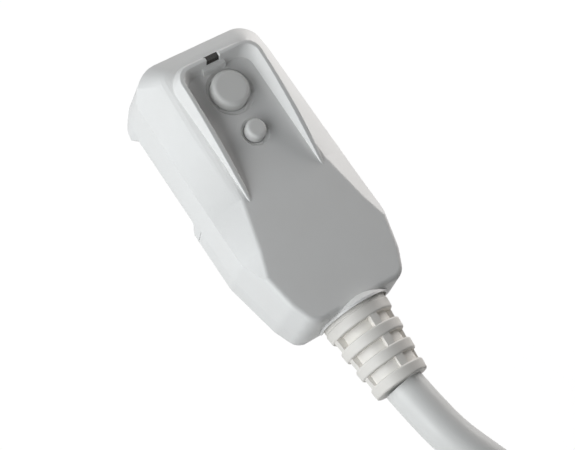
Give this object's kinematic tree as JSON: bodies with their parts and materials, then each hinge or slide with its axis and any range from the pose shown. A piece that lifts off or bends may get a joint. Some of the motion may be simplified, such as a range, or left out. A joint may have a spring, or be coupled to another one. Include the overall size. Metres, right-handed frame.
{
  "type": "power cord",
  "caption": "White power cord with a right-angle ground-fault plug head, press buttons and lamp, a slotted strain relief, a coil of cord and a round connector at its far end.",
  "frame": {"origin": "centre of the head in plan, strain relief included, on the level that the ground pin's tip stands on", "axes": "+Y from the strain relief towards the blade end of the head, +Z out of the front with its buttons, away from the blades, +X across the head"},
  "size_m": [0.1662, 0.3107, 0.0506],
  "materials": {
    "ivory_plastic": "moulded white, fine grain, satin",
    "button_plastic": "smooth moulded, satin",
    "dark_lens": "smoked red-brown lens, glossy",
    "boot_vinyl": "soft warm white vinyl, satin",
    "cord_vinyl": "smooth extruded vinyl jacket, low sheen",
    "plated_brass": "drawn brass, light brush",
    "contact_brass": "rolled spring brass",
    "spring_steel": "drawn spring wire",
    "zinc_steel": "zinc plated, satin",
    "green_board": "glass-fibre board with solder mask",
    "black_plastic": "moulded black, matte",
    "white_nylon": "natural nylon",
    "face_nylon": "moulded nylon, satin",
    "copper_wire": "enamelled copper winding",
    "coil_tape": "yellow polyester tape over the winding",
    "capacitor_red": "epoxy coated",
    "varistor_blue": "epoxy coated",
    "can_aluminium": "drawn can",
    "resistor_tan": "lacquered",
    "lamp_glass": "red tinted lamp",
    "black_vinyl": "smooth vinyl insulation",
    "white_vinyl": "smooth vinyl insulation",
    "green_vinyl": "smooth vinyl insulation",
    "tie_fabric": "woven hook-and-loop strap"
  },
  "bodies": {
    "head": {"front_cover": "ivory_plastic", "back_cover": "ivory_plastic", "blade_base": "ivory_plastic", "indicator_window": "dark_lens", "reset_return_spring": "spring_steel", "hot_blade": "plated_brass", "neutral_blade": "plated_brass", "ground_pin": "plated_brass", "circuit_board": "green_board", "solenoid_bobbin": "black_plastic", "solenoid_winding": "copper_wire", "solenoid_frame": "zinc_steel", "plunger_return_spring": "spring_steel", "latch_frame": "black_plastic", "contact_arms": "contact_brass", "fixed_contacts": "contact_brass", "test_leaf": "contact_brass", "sense_coil": "coil_tape", "coil_spacer": "white_nylon", "neutral_coil": "coil_tape", "film_capacitor": "capacitor_red", "varistor": "varistor_blue", "electrolytic_capacitor": "can_aluminium", "resistors": "resistor_tan", "control_chip": "black_plastic", "trigger_thyristor": "black_plastic", "rectifier_diodes": "black_plastic", "indicator_lamp": "lamp_glass", "cord_clamp": "zinc_steel", "clamp_screws": "zinc_steel", "housing_screws": "zinc_steel", "cord_jacket_end": "cord_vinyl", "black_lead": "black_vinyl", "white_lead": "white_vinyl", "green_lead": "green_vinyl", "strain_relief_boot": "boot_vinyl", "cord_run": "cord_vinyl", "cord_coil": "cord_vinyl", "coil_tie": "tie_fabric", "connector_body": "boot_vinyl", "connector_boot": "boot_vinyl", "connector_cord_end": "cord_vinyl", "connector_face": "face_nylon", "connector_contacts": "contact_brass"},
    "reset": {"reset_button": "button_plastic"},
    "carriage": {"contact_carriage": "white_nylon"},
    "test": {"test_button": "button_plastic"},
    "trip": {"plunger": "zinc_steel", "latch_plate": "zinc_steel"}
  },
  "joints": [
    {"name": "reset_press", "type": "slide", "parent": "head", "child": "reset", "axis": [0, 0, 1], "range_m": [-0.002, 0], "stiffness_N_per_m": 800, "springref_m": 0.0005, "deforming": ["reset_return_spring"]},
    {"name": "carriage_slide", "type": "slide", "parent": "head", "child": "carriage", "axis": [0, 0, 1], "range_m": [-0.002, 0], "deforming": ["contact_arms"]},
    {"name": "test_press", "type": "slide", "parent": "head", "child": "test", "axis": [0, 0, 1], "range_m": [-0.0015, 0], "stiffness_N_per_m": 500, "springref_m": 0.0005, "deforming": ["test_leaf"]},
    {"name": "trip_slide", "type": "slide", "parent": "head", "child": "trip", "axis": [0, 1, 0], "range_m": [-0.002, 0], "stiffness_N_per_m": 300, "springref_m": 0.0005, "deforming": ["plunger_return_spring"]}
  ],
  "couplings": [
    {"joint": "carriage_slide", "follows": "reset_press", "ratio": 1}
  ]
}
